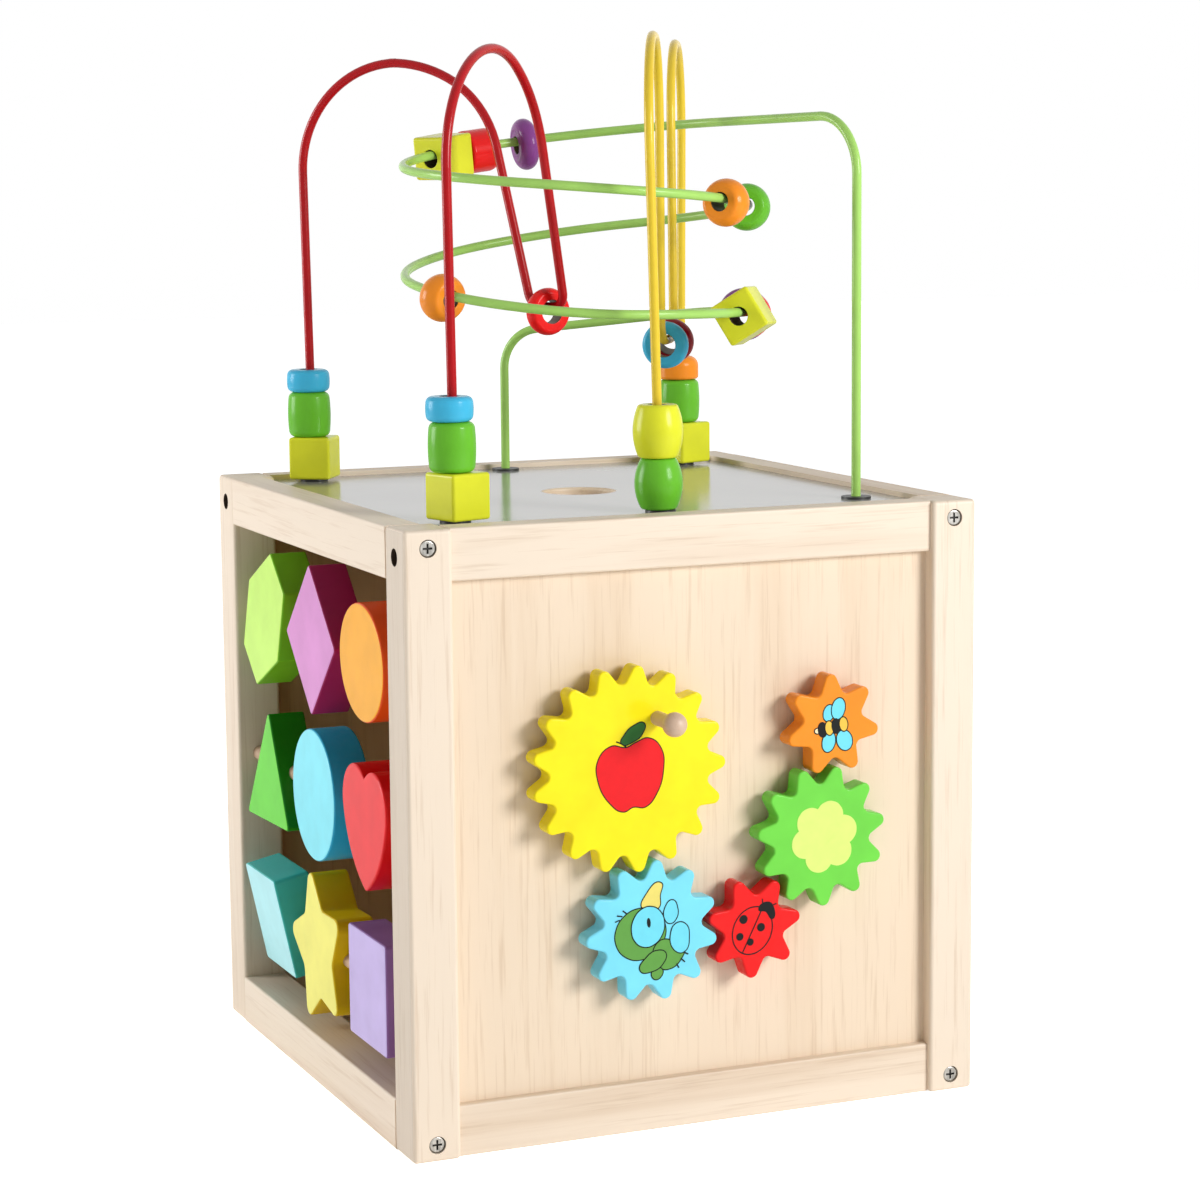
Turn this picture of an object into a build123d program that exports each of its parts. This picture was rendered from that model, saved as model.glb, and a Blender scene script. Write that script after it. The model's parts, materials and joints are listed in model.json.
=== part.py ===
from build123d import *
import os
from collections import namedtuple
from math import acos, atan2, cos, degrees, floor, hypot, pi, radians, sin, sqrt

# Wooden activity cube for a young child: a bead maze of bent wires on the lid, a train of five
# meshed gears on the front, and three rods of turning shape blocks in the open left bay.
# Millimetres. The origin is the centre of the base, +Z is up, the front faces -Y and the bay -X.

# Frame: four corner posts joined by rails along the top and the bottom
SIDE = 300.0
HALF = SIDE / 2
POST_WIDTH = 24.0
POST_DEPTH = 26.0
POST_ROUND = 2.0
RAIL_HEIGHT = 25.0
END_RAIL_SETBACK = 3.0
RAIL_ROUND = 1.2
INNER_X = HALF - POST_WIDTH
INNER_Y = HALF - POST_DEPTH

# Plywood panels let into grooves, and the lid and the base let into rebates
PLY = 5.0
GROOVE = 5.0
PANEL_SETBACK = 8.0
PANEL_LOW = RAIL_HEIGHT - GROOVE
PANEL_HIGH = SIDE - RAIL_HEIGHT + GROOVE
LID_PLY = 9.0
LID_HALF = 133.0
LID_TOP = SIDE - 2.5
LID_BOTTOM = LID_TOP - LID_PLY
BASE_LIP = 6.0
FINGER_HOLE = 36.0
FINGER_HOLE_ROUND = 1.5

# Cross-head screws: shallow in the front and back, deep in the side faces
SCREW_HEAD = 8.0
SCREW_HEAD_HEIGHT = 2.2
SCREW_HEAD_ROUND = 0.8
SCREW_SHANK = 4.0
SCREW_CROSS = 4.8
SCREW_CROSS_WIDTH = 1.0
SCREW_CROSS_DEPTH = 1.3
COUNTERBORE = 8.5
SCREW_GRIP = 20.0
END_SCREW_X = 138.0
END_SCREW_HEIGHTS = (8.2, 291.3)
END_SCREW_SINK = 0.6
SIDE_SCREW_Y = 137.0
SIDE_SCREW_HEIGHT = 286.5
SIDE_SCREW_SINK = 5.5

# Shape blocks on three rods across the left bay
ROD = 8.0
ROD_SOCKET = 8.0
ROD_X = -138.0
ROD_HEIGHTS = (229.0, 149.5, 68.5)
BLOCK_PITCH = 80.0
BLOCK_THICK = 20.0
BLOCK_CORNER = 2.0
STAR_CORNER = 5.0
BLOCK_EDGE = 1.2
OBLONG_TURN = -12.0
RUNNING_CLEARANCE = 0.05

# Gear train on the front panel, each gear blind-bored from behind for its pin
GEAR_THICK = 11.0
GEAR_FRONT = -157.0
GEAR_BACK = GEAR_FRONT + GEAR_THICK
GEAR_EDGE = 1.0
TOOTH_DEPTH = 8.5
TIP_ARC = 3.3
ROOT_ARC = 3.0
PIN = 8.0
PIN_DEPTH = 8.0
PIN_COLLAR = 16.0
PIN_HEAD = 14.0
PIN_HEAD_THICK = 2.0
END_PLAY = 0.2
KNOB_X = 14.0
KNOB_Z = 24.0
KNOB_STEM = 7.0
KNOB_BALL = 11.8
KNOB_REACH = 20.0
KNOB_SOCKET = 4.0

Gear = namedtuple("Gear", "teeth tip_radius x z driver rest_slack")
GEARS = {
    "yellow_gear": Gear(17, 50.0, -40.5, 181.0, None, 0.0),
    "cyan_gear": Gear(11, 34.6, -29.4, 101.5, "yellow_gear", 0.0),
    "red_gear": Gear(7, 25.0, 24.7, 97.6, "cyan_gear", 0.0),
    "green_gear": Gear(11, 34.8, 61.3, 139.4, "red_gear", 0.8),
    "orange_gear": Gear(7, 25.0, 67.5, 194.3, "green_gear", -1.2),
}

# Bead maze: three steel wires with a coloured coat, each foot in a grommet
WIRE = 4.7
WIRE_FOOT = 289.0
GROMMET_FLANGE = 15.0
GROMMET_LIP = 1.2
GROMMET_BARREL = 9.0

# The red and yellow wires: up, over, down into a valley in the middle, up, over and down
RED_POINTS = [
    (-108, -106, WIRE_FOOT), (-111, -107, 521), (-59, -56, 521), (-34, -31, 496), (-9, -5, 393),
    (-19, 16, 393), (-32, 42, 497), (-57, 67, 519), (-109, 119, 519), (-106, 117, WIRE_FOOT),
]
RED_RADII = [56, 52, 75, 9, 9, 58, 70, 56]
YELLOW_POINTS = [
    (-3, -110, WIRE_FOOT), (-9, -110, 528), (39, -18, 528), (41, -14, 374.5),
    (60, 12, 374.5), (61, 17, 529), (110, 109, 529), (108, 109, WIRE_FOOT),
]
YELLOW_RADII = [52, 45, 10, 10, 45, 52]
WIRE_POINTS = {"red": RED_POINTS, "yellow": YELLOW_POINTS}

# The green wire climbs from its front foot and winds down round the middle in two turns
GREEN_FEET = ((110.0, -99.0), (7.0, 122.0))
GREEN_CORNER_HEIGHTS = (489.0, 374.0)
GREEN_CORNER_RADII = (29.0, 22.0)
SPIRAL_RADIUS = 88.0
SPIRAL_START = 10.1
SPIRAL_END = 762.5
SPIRAL_STEPS = 17
SPIRAL_STEP = (SPIRAL_END - SPIRAL_START) / SPIRAL_STEPS
SPIRAL_ARC_RADIUS = 0.98 * SPIRAL_RADIUS
SPIRAL_HEIGHTS = [
    (10, 489), (67, 482), (157, 465), (247, 455), (337, 444),
    (427, 431), (517, 410), (607, 393), (697, 390), (763, 386),
]

# Beads, bored wide for the wires, so that each hangs from its wire by the top of its hole
BEAD_HOLE = 9.5
BEAD_CUBE = 22.5
BEAD_EDGE = 1.6
BORE_EDGE = 0.5
STACK_BASE = LID_TOP + GROMMET_LIP + 0.3
STACK_GAP = 0.1
BEAD_SAG = 1.9
RING_HOLE = 12.0
RING_THICK = 8.5
RING_SAG = 2.5

# Turned beads: diameter, length, diameter of the end faces, edge radius
TURNED = {
    "barrel": (23.0, 24.0, 21.4, 3.2),
    "big_barrel": (24.6, 26.0, 19.0, 2.0),
    "round": (23.6, 25.0, 17.0, 2.2),
    "disc": (23.0, 12.0, 21.8, 3.0),
    "ball": (24.0, 14.0, 18.0, 2.6),
    "lens": (27.5, 10.0, 15.0, 1.2),
}
DOME_LENGTHS = {"dome": 20.0, "low_dome": 13.0}
DOME_DIAMETER = 23.0

# Stacks: wire, which end of it, how far the beads are turned, and how far each has shifted in its play
Stack = namedtuple("Stack", "wire foot turn beads")
STACKS = {
    "red_front": Stack("red", 0, 17.0, {"cube": 1.6, "barrel": -0.7, "disc": -1.5}),
    "red_back": Stack("red", -1, 56.0, {"cube": 0.8, "barrel": -1.3, "disc": -1.2}),
    "yellow_front": Stack("yellow", 0, 0.0, {"round": -0.4, "big_barrel": 0.0}),
    "yellow_back": Stack("yellow", -1, 20.0, {"cube": 1.2, "barrel": -1.1, "low_dome": -1.9}),
}

# Beads along the spiral, which way each faces along the wire, and its roll about the wire
SpiralBead = namedtuple("SpiralBead", "shape angle way roll")
SPIRAL_BEADS = {
    "spiral_high_cube": SpiralBead("cube", 119.5, 1, 0.0),
    "spiral_high_dome": SpiralBead("dome", 103.0, -1, 0.0),
    "spiral_high_lens": SpiralBead("lens", 85.7, 1, 0.0),
    "spiral_side_orange": SpiralBead("ball", 305.5, 1, 0.0),
    "spiral_side_green": SpiralBead("ball", 327.0, 1, 0.0),
    "spiral_low_orange": SpiralBead("ball", 558.0, 1, 0.0),
    "spiral_low_cube": SpiralBead("cube", 680.5, 1, -32.0),
    "spiral_low_red": SpiralBead("ball", 696.5, 1, 0.0),
    "spiral_low_lens": SpiralBead("lens", 707.5, 1, 0.0),
}

# Rings that hang in the wires' valleys: wire, distance past the middle, rise of the wire there,
# turn about the upright, and tilt where the wire starts to climb
ValleyRing = namedtuple("ValleyRing", "wire offset rise turn tilt")
VALLEY_RINGS = {
    "valley_red_ring": ValleyRing("red", 0.0, 0.0, -15.0, 0.0),
    "valley_cyan_ring": ValleyRing("yellow", -5.0, 0.0, 0.0, 0.0),
    "valley_crimson_ring": ValleyRing("yellow", 9.0, 1.4, 0.0, -18.0),
}


def box_between(low, high):
    """Box from its lowest corner to its highest corner."""
    size = [b - a for a, b in zip(low, high)]
    return Pos(*low) * Box(*size, align=(Align.MIN,) * 3)


def rod_between(start, end, diameter):
    """Round bar from one point to another."""
    axis = Vector(*end) - Vector(*start)
    return extrude(Plane(origin=start, z_dir=axis) * Circle(diameter / 2), axis.length)


def cut(piece, cutters):
    """The piece with every cutter taken away."""
    for cutter in cutters:
        piece -= cutter
    return piece


# ---- Panels ----


def end_panel(side):
    """Plywood panel that closes the front (side -1) or the back (side 1)."""
    face = side * (HALF - PANEL_SETBACK)
    low, high = sorted((face, face - side * PLY))
    reach = INNER_X + GROOVE
    return box_between((-reach, low, PANEL_LOW), (reach, high, PANEL_HIGH))


def right_panel():
    """Plywood panel that closes the right side."""
    face = HALF - PANEL_SETBACK
    reach = INNER_Y + GROOVE
    return box_between((face - PLY, -reach, PANEL_LOW), (face, reach, PANEL_HIGH))


def without_corners(board):
    """A board with its corners cut away round the four posts."""
    low, high = board.bounding_box().min.Z, board.bounding_box().max.Z
    for side_x in (-1, 1):
        for side_y in (-1, 1):
            x = sorted((side_x * INNER_X, side_x * HALF))
            y = sorted((side_y * INNER_Y, side_y * HALF))
            board -= box_between((x[0], y[0], low), (x[1], y[1], high))
    return board


def lid():
    """Top panel in its rebate, with a finger hole and the holes of the grommets."""
    board = box_between((-LID_HALF, -LID_HALF, LID_BOTTOM), (LID_HALF, LID_HALF, LID_TOP))
    board = without_corners(board)
    hole = Pos(0, 0, LID_BOTTOM) * Cylinder(FINGER_HOLE / 2, 2 * LID_PLY)
    board -= hole
    rim = board.edges().filter_by(GeomType.CIRCLE).sort_by(Axis.Z)[-1]
    board = fillet(rim, FINGER_HOLE_ROUND)
    return cut(board, [grommet_blank(x, y) for x, y in wire_feet()])


def base():
    """Bottom panel let into the undersides of the bottom rails."""
    reach_x = INNER_X + BASE_LIP
    reach_y = INNER_Y + BASE_LIP
    return without_corners(box_between((-reach_x, -reach_y, 0), (reach_x, reach_y, PLY)))


# ---- Screws ----


def screw(head_depth, length):
    """Cross-head screw along -Z from the surface that it is driven into."""
    head = Pos(0, 0, -head_depth - SCREW_HEAD_HEIGHT / 2) * Cylinder(SCREW_HEAD / 2, SCREW_HEAD_HEIGHT)
    head = fillet(head.edges().sort_by(Axis.Z)[-1], SCREW_HEAD_ROUND)
    for long_x in (True, False):
        size = (SCREW_CROSS, SCREW_CROSS_WIDTH) if long_x else (SCREW_CROSS_WIDTH, SCREW_CROSS)
        head -= Pos(0, 0, -head_depth) * Box(*size, 2 * SCREW_CROSS_DEPTH)
    return head + rod_between((0, 0, -head_depth - SCREW_HEAD_HEIGHT), (0, 0, -length), SCREW_SHANK)


def screw_hole(head_depth, length):
    """Counterbore and shank hole for a screw along -Z."""
    floor_depth = head_depth + SCREW_HEAD_HEIGHT
    return rod_between((0, 0, 0), (0, 0, -floor_depth), COUNTERBORE) + rod_between(
        (0, 0, -floor_depth), (0, 0, -length), SCREW_SHANK
    )


def end_screw_places():
    """Where screws go through the front and back posts into the side rails."""
    return [
        Plane(origin=(x, side * HALF, z), x_dir=(1, 0, 0), z_dir=(0, side, 0)).location
        for side in (-1, 1)
        for x in (-END_SCREW_X, END_SCREW_X)
        for z in END_SCREW_HEIGHTS
    ]


def side_screw_places():
    """Where screws go through the posts' side faces into the front and back rails."""
    return [
        Plane(origin=(side * HALF, y, SIDE_SCREW_HEIGHT), x_dir=(0, 1, 0), z_dir=(side, 0, 0)).location
        for side in (-1, 1)
        for y in (-SIDE_SCREW_Y, SIDE_SCREW_Y)
    ]


def screws_and_holes():
    """The two groups of screws, and the holes that they need in posts and rails."""
    end_length = POST_DEPTH + SCREW_GRIP
    side_length = POST_WIDTH + SCREW_GRIP
    end_screws = [place * screw(END_SCREW_SINK, end_length) for place in end_screw_places()]
    side_screws = [place * screw(SIDE_SCREW_SINK, side_length) for place in side_screw_places()]
    holes = [place * screw_hole(END_SCREW_SINK, end_length) for place in end_screw_places()]
    holes += [place * screw_hole(SIDE_SCREW_SINK, side_length) for place in side_screw_places()]
    return end_screws, side_screws, holes


# ---- Posts and rails ----


def post(side_x, side_y, cutters):
    """Corner post with softly rounded edges and its joinery."""
    x = sorted((side_x * INNER_X, side_x * HALF))
    y = sorted((side_y * INNER_Y, side_y * HALF))
    blank = box_between((x[0], y[0], 0), (x[1], y[1], SIDE))
    return cut(fillet(blank.edges(), POST_ROUND), cutters)


def rail(low, high, cutters):
    """Rail with its long edges softened and its joinery."""
    blank = box_between(low, high)
    long_axis = Axis.X if high[0] - low[0] > high[1] - low[1] else Axis.Y
    return cut(fillet(blank.edges().filter_by(long_axis), RAIL_ROUND), cutters)


def end_rails(low, high, cutters):
    """The pair of rails between the posts at the front and the back."""
    outer = HALF - END_RAIL_SETBACK
    return [
        rail((-INNER_X, -outer, low), (INNER_X, -INNER_Y, high), cutters),
        rail((-INNER_X, INNER_Y, low), (INNER_X, outer, high), cutters),
    ]


def side_rails(low, high, cutters):
    """The pair of rails between the posts at the left and the right."""
    return [
        rail((-HALF, -INNER_Y, low), (-INNER_X, INNER_Y, high), cutters),
        rail((INNER_X, -INNER_Y, low), (HALF, INNER_Y, high), cutters),
    ]


def frame_nodes():
    """Posts, rails, panels and screws."""
    end_screws, side_screws, holes = screws_and_holes()
    panels = {"front_panel": end_panel(-1), "back_panel": end_panel(1), "right_panel": right_panel()}
    joinery = [*panels.values(), *holes]
    rebate = box_between((-LID_HALF, -LID_HALF, LID_BOTTOM), (LID_HALF, LID_HALF, SIDE))
    base_board = base()
    nodes = dict(panels, top_panel=lid(), base_panel=base_board)
    for name_y, side_y in (("front", -1), ("back", 1)):
        for name_x, side_x in (("left", -1), ("right", 1)):
            nodes[f"post_{name_y}_{name_x}"] = post(side_x, side_y, [*joinery, *shape_rods()])
    top = (SIDE - RAIL_HEIGHT, SIDE, [*joinery, rebate])
    bottom = (0.0, RAIL_HEIGHT, [*joinery, base_board])
    nodes["top_end_rails"] = end_rails(*top)
    nodes["top_side_rails"] = side_rails(*top)
    nodes["bottom_end_rails"] = end_rails(*bottom)
    nodes["bottom_side_rails"] = side_rails(*bottom)
    nodes["end_screws"] = end_screws
    nodes["side_screws"] = side_screws
    return nodes


# ---- Shape blocks ----


def shape_rods():
    """Three rods from post to post across the bay."""
    reach = INNER_Y + ROD_SOCKET
    return [rod_between((ROD_X, -reach, z), (ROD_X, reach, z), ROD) for z in ROD_HEIGHTS]


def heart_outline(lobe=19.0, spread=13.5, lobe_height=9.0, tip=-33.0, leave=15.0):
    """Two round lobes, left at an angle below level by sides that curve down to a point."""
    out, down = cos(radians(leave)), sin(radians(leave))
    notch = (0, lobe_height + sqrt(lobe**2 - spread**2))
    shoulder = (spread + lobe * cos(pi / 4), lobe_height + lobe * sin(pi / 4))
    flank = (spread + lobe * out, lobe_height - lobe * down)
    half = ThreePointArc(notch, shoulder, flank) + TangentArc(flank, (0, tip), tangent=(-down, -out))
    outline = make_face(half + mirror(half, Plane.YZ))
    notch_and_tip = outline.vertices().filter_by(lambda corner: abs(corner.X) < BLOCK_EDGE)
    return fillet(notch_and_tip, BLOCK_CORNER)


def star_outline(points=5, outer=45.0, inner=24.5, first_angle=5.0):
    """Star whose arms start at the given angle, measured from the rod's direction."""
    step = 180.0 / points
    corners = [
        Vector(outer if i % 2 == 0 else inner, 0).rotate(Axis.Z, first_angle + i * step)
        for i in range(2 * points)
    ]
    return Polygon(*corners, align=None)


def shape_outlines():
    """Each block's outline about its rod: name, column, row, outline and corner radius."""
    hexagon = [(-14.5, 37), (24, 19), (37, -18), (14.5, -37), (-24, -19), (-37, 18)]
    diamond = [(39.5, 0), (0, 38.8), (-39.5, 0), (0, -38.8)]
    triangle = [(-4.5, 31.5), (-36.3, -28), (36.8, -30.5)]
    return [
        ("block_oval", -1, 0, Rot(0, 0, 8) * Ellipse(32.5, 28.8), 0),
        ("block_diamond", 0, 0, Polygon(*diamond, align=None), BLOCK_CORNER),
        ("block_hexagon", 1, 0, Polygon(*hexagon, align=None), BLOCK_CORNER),
        ("block_heart", -1, 1, heart_outline(), 0),
        ("block_circle", 0, 1, Circle(33.8), 0),
        ("block_triangle", 1, 1, Polygon(*triangle, align=None), BLOCK_CORNER),
        ("block_square", -1, 2, Pos(0, -1) * Rectangle(55.5, 55.5), BLOCK_CORNER),
        ("block_star", 0, 2, star_outline(), STAR_CORNER),
        ("block_oblong", 1, 2, Rectangle(51.5, 55), BLOCK_CORNER),
    ]


def shape_block(column, row, outline, corner):
    """Flat block standing in the bay, with a running bore along its rod."""
    if corner:
        outline = fillet(outline.vertices(), corner)
    block = extrude(outline, BLOCK_THICK / 2, both=True)
    faces = block.faces().sort_by(Axis.Z)
    block = fillet([*faces[0].edges(), *faces[-1].edges()], BLOCK_EDGE)
    bore = ROD + 2 * RUNNING_CLEARANCE
    block -= rod_between((-HALF, 0, 0), (HALF, 0, 0), bore)
    place = Plane(origin=(ROD_X, column * BLOCK_PITCH, ROD_HEIGHTS[row]), x_dir=(0, 1, 0), z_dir=(1, 0, 0))
    return place.location * block


def bay_nodes():
    """The rods and the nine blocks; the oblong block is left turned a little on its rod."""
    nodes = {"shape_rods": shape_rods()}
    for name, column, row, outline, corner in shape_outlines():
        nodes[name] = shape_block(column, row, outline, corner)
    rod_axis = Axis((ROD_X, 0, ROD_HEIGHTS[2]), (0, 1, 0))
    nodes["block_oblong"] = nodes["block_oblong"].rotate(rod_axis, OBLONG_TURN)
    return nodes


# ---- Gears ----


def meshed_phase(name):
    """Angle of a gear's first tooth, so that its gap faces its driver's nearest tooth."""
    gear = GEARS[name]
    if gear.driver is None:
        return 0.0
    driver = GEARS[gear.driver]
    line = degrees(atan2(gear.z - driver.z, gear.x - driver.x))
    pitch = 360.0 / driver.teeth
    tooth = (meshed_phase(gear.driver) - line + pitch / 2) % pitch - pitch / 2
    distance = hypot(gear.x - driver.x, gear.z - driver.z)
    pitch_radius = distance * gear.teeth / (gear.teeth + driver.teeth)
    slack = degrees(gear.rest_slack / pitch_radius)
    return line + 180.0 - tooth * driver.teeth / gear.teeth - 180.0 / gear.teeth + slack


def gear_outline(teeth, tip_radius):
    """Toy gear: round tips and round roots joined by straight tangent flanks."""
    half_step = pi / teeth
    root_radius = tip_radius - TOOTH_DEPTH
    tip_centre = Vector(tip_radius - TIP_ARC, 0)
    root_centre = Vector(root_radius + ROOT_ARC, 0).rotate(Axis.Z, degrees(half_step))
    link = root_centre - tip_centre
    normal_angle = atan2(link.Y, link.X) + acos((TIP_ARC + ROOT_ARC) / link.length)
    if cos(normal_angle) < 0:
        normal_angle = 2 * atan2(link.Y, link.X) - normal_angle
    normal = Vector(cos(normal_angle), sin(normal_angle))
    tip_end = tip_centre + normal * TIP_ARC
    flank_end = root_centre - normal * ROOT_ARC
    tip_start = Vector(tip_end.X, -tip_end.Y)
    across_root = Vector(flank_end.X, -flank_end.Y).rotate(Axis.Z, degrees(2 * half_step))
    next_tip = tip_start.rotate(Axis.Z, degrees(2 * half_step))
    root_middle = Vector(root_radius, 0).rotate(Axis.Z, degrees(half_step))
    tooth = [
        ThreePointArc(tip_start, Vector(tip_radius, 0), tip_end),
        Line(tip_end, flank_end),
        ThreePointArc(flank_end, root_middle, across_root),
        Line(across_root, next_tip),
    ]
    turns = [Rot(0, 0, degrees(2 * half_step * i)) for i in range(teeth)]
    return make_face([edge for turn in turns for edge in (turn * part for part in tooth)])


def gear_body(name):
    """Gear with softened front and back edges, in front of the panel."""
    gear = GEARS[name]
    body = extrude(Rot(0, 0, meshed_phase(name)) * gear_outline(gear.teeth, gear.tip_radius), GEAR_THICK)
    faces = body.faces().sort_by(Axis.Z)
    body = fillet([*faces[0].edges(), *faces[-1].edges()], GEAR_EDGE)
    body -= rod_between((0, 0, 0), (0, 0, PIN_DEPTH), PIN + 2 * RUNNING_CLEARANCE)
    place = Plane(origin=(gear.x, GEAR_BACK, gear.z), x_dir=(1, 0, 0), z_dir=(0, -1, 0))
    return place.location * body


def gear_pin(x, z):
    """Pin from the panel into the back of a gear, with a collar that holds the gear off the panel."""
    panel_front = -(HALF - PANEL_SETBACK)
    panel_back = panel_front + PLY
    tip = GEAR_BACK - PIN_DEPTH + END_PLAY
    shaft = rod_between((x, tip, z), (x, panel_back, z), PIN)
    collar = rod_between((x, GEAR_BACK + END_PLAY, z), (x, panel_front, z), PIN_COLLAR)
    head = rod_between((x, panel_back, z), (x, panel_back + PIN_HEAD_THICK, z), PIN_HEAD)
    return shaft + collar + head


def knob():
    """Turned finger knob: a stem with a ball on its end."""
    gear = GEARS["yellow_gear"]
    x, z = gear.x + KNOB_X, gear.z + KNOB_Z
    stem = rod_between((x, GEAR_FRONT + KNOB_SOCKET, z), (x, GEAR_FRONT - KNOB_REACH, z), KNOB_STEM)
    return stem + Pos(x, GEAR_FRONT - KNOB_REACH, z) * Sphere(KNOB_BALL / 2)


def gear_nodes():
    """Five gears, their pins and the knob; the pins' holes go through the front panel."""
    nodes = {name: gear_body(name) for name in GEARS}
    nodes["gear_knob"] = knob()
    nodes["yellow_gear"] -= nodes["gear_knob"]
    nodes["gear_pins"] = [gear_pin(gear.x, gear.z) for gear in GEARS.values()]
    return nodes


# ---- Wires ----


def spiral_height(angle):
    """Height of the spiral's guide points, between the heights given round its turns."""
    for (low, low_z), (high, high_z) in zip(SPIRAL_HEIGHTS, SPIRAL_HEIGHTS[1:]):
        if angle <= high:
            return low_z + (high_z - low_z) * (angle - low) / (high - low)
    return SPIRAL_HEIGHTS[-1][1]


def green_points():
    """The green wire: up its front foot, round the spiral, and down its back foot."""
    reach = SPIRAL_RADIUS / cos(radians(SPIRAL_STEP / 2))
    points = [(*GREEN_FEET[0], WIRE_FOOT), (*GREEN_FEET[0], GREEN_CORNER_HEIGHTS[0])]
    for i in range(SPIRAL_STEPS):
        angle = SPIRAL_START + SPIRAL_STEP * (i + 0.5)
        flat = Vector(reach, 0).rotate(Axis.Z, angle)
        points.append((flat.X, flat.Y, spiral_height(angle)))
    return [*points, (*GREEN_FEET[1], GREEN_CORNER_HEIGHTS[1]), (*GREEN_FEET[1], WIRE_FOOT)]


def wire_paths():
    """Each wire's centre line: straight runs joined by tangent arcs."""
    green_radii = [GREEN_CORNER_RADII[0], *[SPIRAL_ARC_RADIUS] * SPIRAL_STEPS, GREEN_CORNER_RADII[1]]
    return {
        "red": FilletPolyline(*RED_POINTS, radius=RED_RADII),
        "yellow": FilletPolyline(*YELLOW_POINTS, radius=YELLOW_RADII),
        "green": FilletPolyline(*green_points(), radius=green_radii),
    }


def wire_feet():
    """Where the six wire ends enter the lid."""
    ends = [points[i][:2] for points in WIRE_POINTS.values() for i in (0, -1)]
    return [*ends, *GREEN_FEET]


def wire_body(path):
    """Round wire along its centre line."""
    return sweep(Plane(origin=path @ 0, z_dir=path % 0) * Circle(WIRE / 2), path=path)


def grommet_blank(x, y):
    """Grommet without its bore: a flange on the lid and a barrel through it."""
    barrel = rod_between((x, y, LID_BOTTOM), (x, y, LID_TOP), GROMMET_BARREL)
    return barrel + rod_between((x, y, LID_TOP), (x, y, LID_TOP + GROMMET_LIP), GROMMET_FLANGE)


def wire_nodes(paths):
    """The three wires and their grommets."""
    nodes = {f"{colour}_wire": wire_body(path) for colour, path in paths.items()}
    wires = list(nodes.values())
    nodes["grommets"] = [cut(grommet_blank(x, y), wires) for x, y in wire_feet()]
    return nodes


# ---- Beads ----


def turned_bead(diameter, length, end_diameter, edge, hole=BEAD_HOLE):
    """Bead turned to a swelling outline between two flat ends, bored along Z."""
    half, end, bore = length / 2, end_diameter / 2, hole / 2
    outline = make_face(
        ThreePointArc((end, -half), (diameter / 2, 0), (end, half))
        + Polyline((end, half), (bore, half), (bore, -half), (end, -half))
    )
    corners = outline.vertices().sort_by(Axis.X)
    outline = fillet(corners[2:], edge)
    outline = fillet(outline.vertices().sort_by(Axis.X)[:2], BORE_EDGE)
    return revolve(Plane.XZ * outline, Axis.Z)


def dome_bead(length):
    """Bead with one flat end and one round end, bored along Z."""
    half, outer, bore = length / 2, DOME_DIAMETER / 2, BEAD_HOLE / 2
    shoulder = half - min(length - 3 * BEAD_EDGE, outer - bore - 1)
    drop = half - shoulder
    lip = bore + 1.5
    bulge = ((outer - lip) * cos(pi / 4) + lip, shoulder + drop * sin(pi / 4))
    outline = make_face(
        Polyline((lip, half), (bore, half), (bore, -half), (outer, -half), (outer, shoulder))
        + ThreePointArc((outer, shoulder), bulge, (lip, half))
    )
    foot = outline.vertices().sort_by(Axis.Y)[:2].sort_by(Axis.X)[-1]
    return revolve(Plane.XZ * fillet(foot, BEAD_EDGE), Axis.Z)


def cube_bead():
    """Cube with rounded edges, bored along Z."""
    cube = fillet(Box(BEAD_CUBE, BEAD_CUBE, BEAD_CUBE).edges(), BEAD_EDGE)
    cube -= Cylinder(BEAD_HOLE / 2, 2 * BEAD_CUBE)
    return fillet(cube.edges().filter_by(GeomType.CIRCLE).filter_by(
        lambda edge: abs(edge.radius - BEAD_HOLE / 2) < BORE_EDGE), BORE_EDGE)


def bead(shape):
    """Bead of a named shape about the origin, and its length along its bore."""
    if shape == "cube":
        return cube_bead(), BEAD_CUBE
    if shape in DOME_LENGTHS:
        return dome_bead(DOME_LENGTHS[shape]), DOME_LENGTHS[shape]
    return turned_bead(*TURNED[shape]), TURNED[shape][1]


def ring_bead():
    """Thick ring with a round section."""
    return turned_bead(24.5, RING_THICK, 20.5, 2.2, hole=RING_HOLE)


def leg_point(wire, foot, height):
    """Where a wire's straight leg stands at a height."""
    points = WIRE_POINTS[wire]
    low, high = (points[0], points[1]) if foot == 0 else (points[-1], points[-2])
    along = (height - low[2]) / (high[2] - low[2])
    return tuple(a + (b - a) * along for a, b in zip(low, high))


def stack_nodes():
    """Beads standing on the lid round the feet of the red and yellow wires."""
    nodes = {}
    for stack_name, stack in STACKS.items():
        base_height = STACK_BASE
        for shape, shift in stack.beads.items():
            solid, length = bead(shape)
            x, y, z = leg_point(stack.wire, stack.foot, base_height + length / 2)
            nodes[f"{stack_name}_{shape}"] = Pos(x + shift, y, z) * Rot(0, 0, stack.turn) * solid
            base_height += length + STACK_GAP
    return nodes


def spiral_arc(path, angle):
    """The arc of the spiral that holds an angle, and how far along that arc the angle is."""
    steps = (angle - SPIRAL_START) / SPIRAL_STEP
    arcs = [edge for edge in path.edges() if edge.geom_type == GeomType.CIRCLE]
    index = min(floor(steps), SPIRAL_STEPS - 1)
    return arcs[1 + index], steps - index


def bead_place(centre, direction, sag, roll=0.0):
    """Location of a bead that hangs from a wire running in a direction."""
    across = Vector(0, 0, 1).cross(direction)
    place = Plane(origin=centre - Vector(0, 0, sag), x_dir=across, z_dir=direction)
    return place.location * Rot(0, 0, roll)


def spiral_bead_nodes(path):
    """Beads hung along the green spiral."""
    nodes = {}
    for name, item in SPIRAL_BEADS.items():
        arc, along = spiral_arc(path, item.angle)
        place = bead_place(arc @ along, (arc % along) * item.way, BEAD_SAG, item.roll)
        nodes[name] = place * bead(item.shape)[0]
    return nodes


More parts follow.
